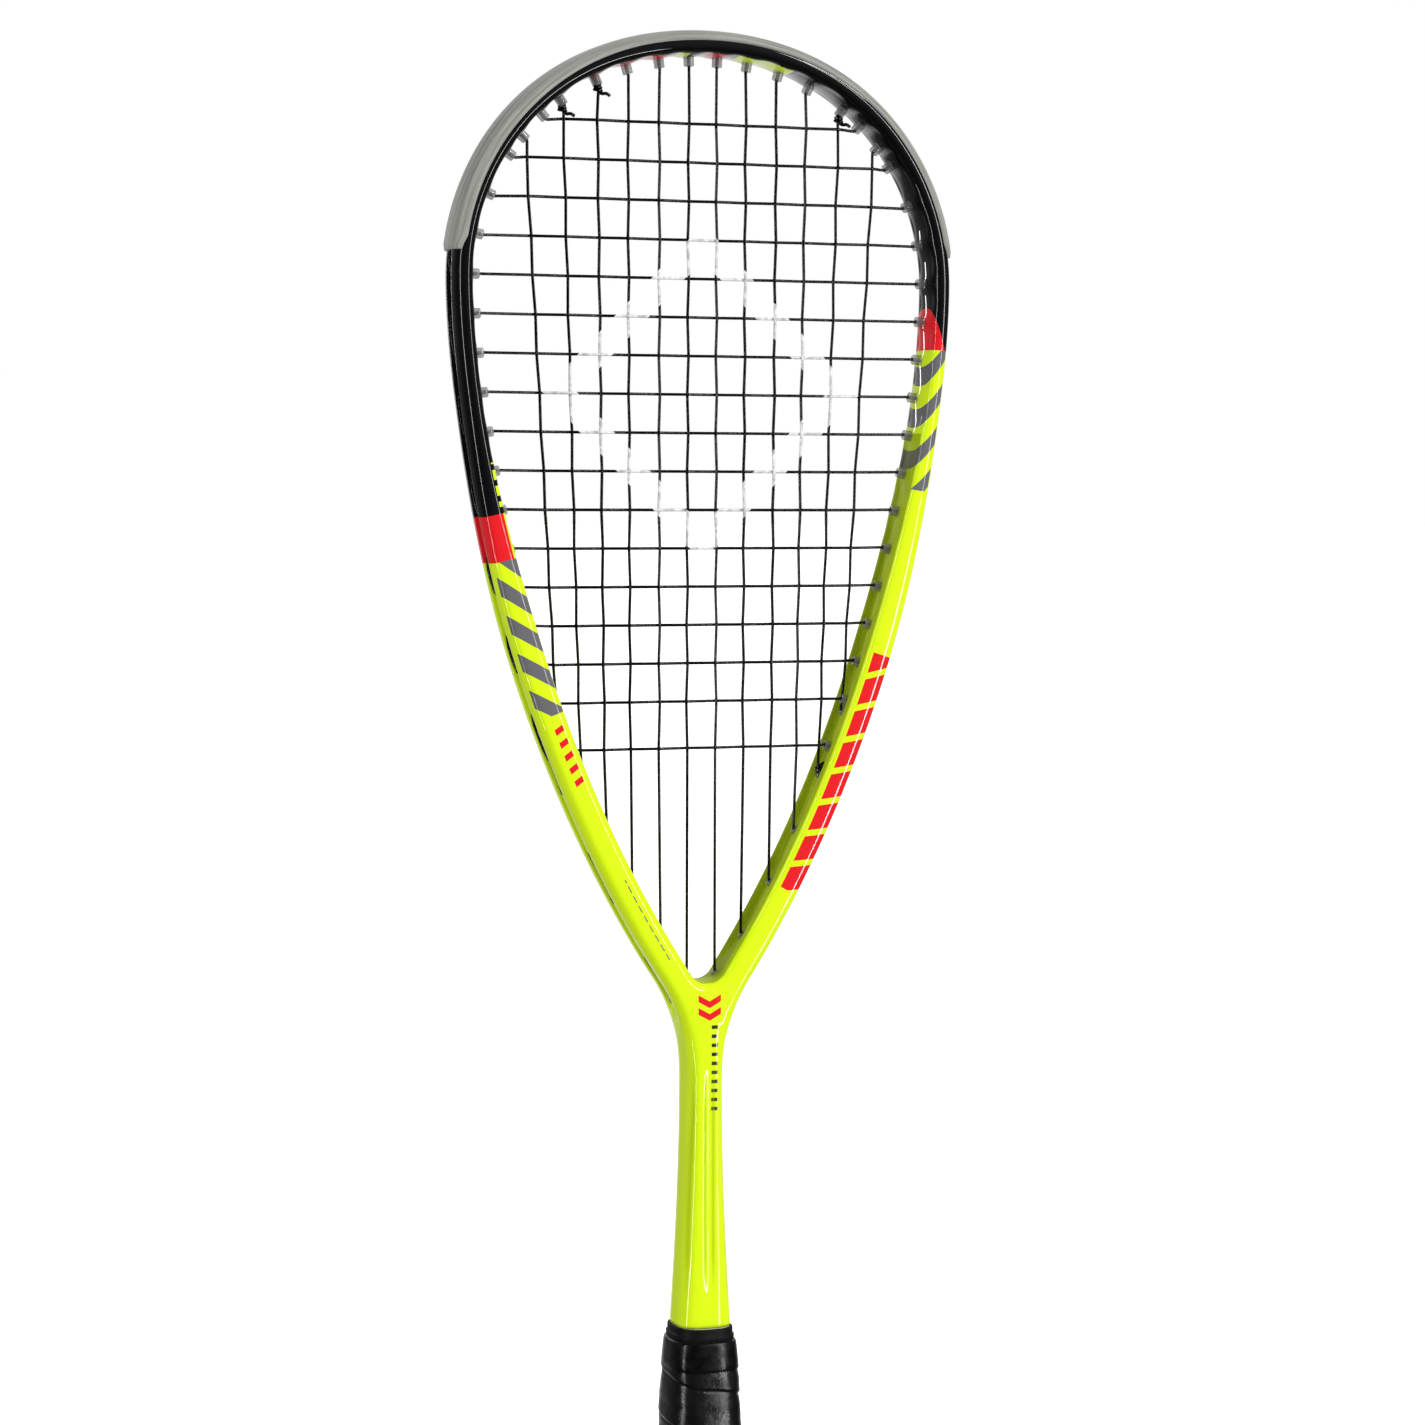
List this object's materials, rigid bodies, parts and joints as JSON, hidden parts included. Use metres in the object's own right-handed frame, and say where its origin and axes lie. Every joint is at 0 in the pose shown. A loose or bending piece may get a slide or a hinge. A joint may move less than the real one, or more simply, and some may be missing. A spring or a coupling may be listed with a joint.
{
  "type": "squash racket",
  "caption": "Squash racket with a teardrop head and open V throat, head guard, woven string bed, grommet strips and a wrapped grip on a slim shaft.",
  "frame": {"origin": "centre of the butt's end face, on which the upright racket rests", "axes": "+Z along the shaft from the butt to the top of the head, X across the width of the head, -Y the front"},
  "size_m": [0.2086, 0.0358, 0.686],
  "materials": {
    "painted_frame": "gloss lacquer on fibre composite, lime and black",
    "guard": "satin moulded nylon with fine streaks",
    "grommet": "smoky clear nylon",
    "string": "multifilament nylon with a spiral texture",
    "foam": "dense foam",
    "cap": "matte",
    "disc": "gloss",
    "staple": "bright wire",
    "grip": "soft synthetic leather, spiral wrapped",
    "tape": "matte tape",
    "collar": "matte"
  },
  "bodies": {
    "root": {"frame": "painted_frame", "bumper_guard": "guard", "head_grommet_strip": "grommet", "left_grommet_strip": "grommet", "right_grommet_strip": "grommet", "left_throat_grommets": "grommet", "right_throat_grommets": "grommet", "main_string": "string", "cross_string": "string", "main_string_knots": "string", "cross_string_knots": "string", "handle_pallet_left": "foam", "handle_pallet_right": "foam", "shaft_foam_core": "foam", "butt_cap": "cap", "butt_cap_disc": "disc", "butt_cap_staples": "staple", "grip_leather": "grip", "grip_finishing_tape": "tape", "grip_collar": "collar"}
  },
  "joints": []
}
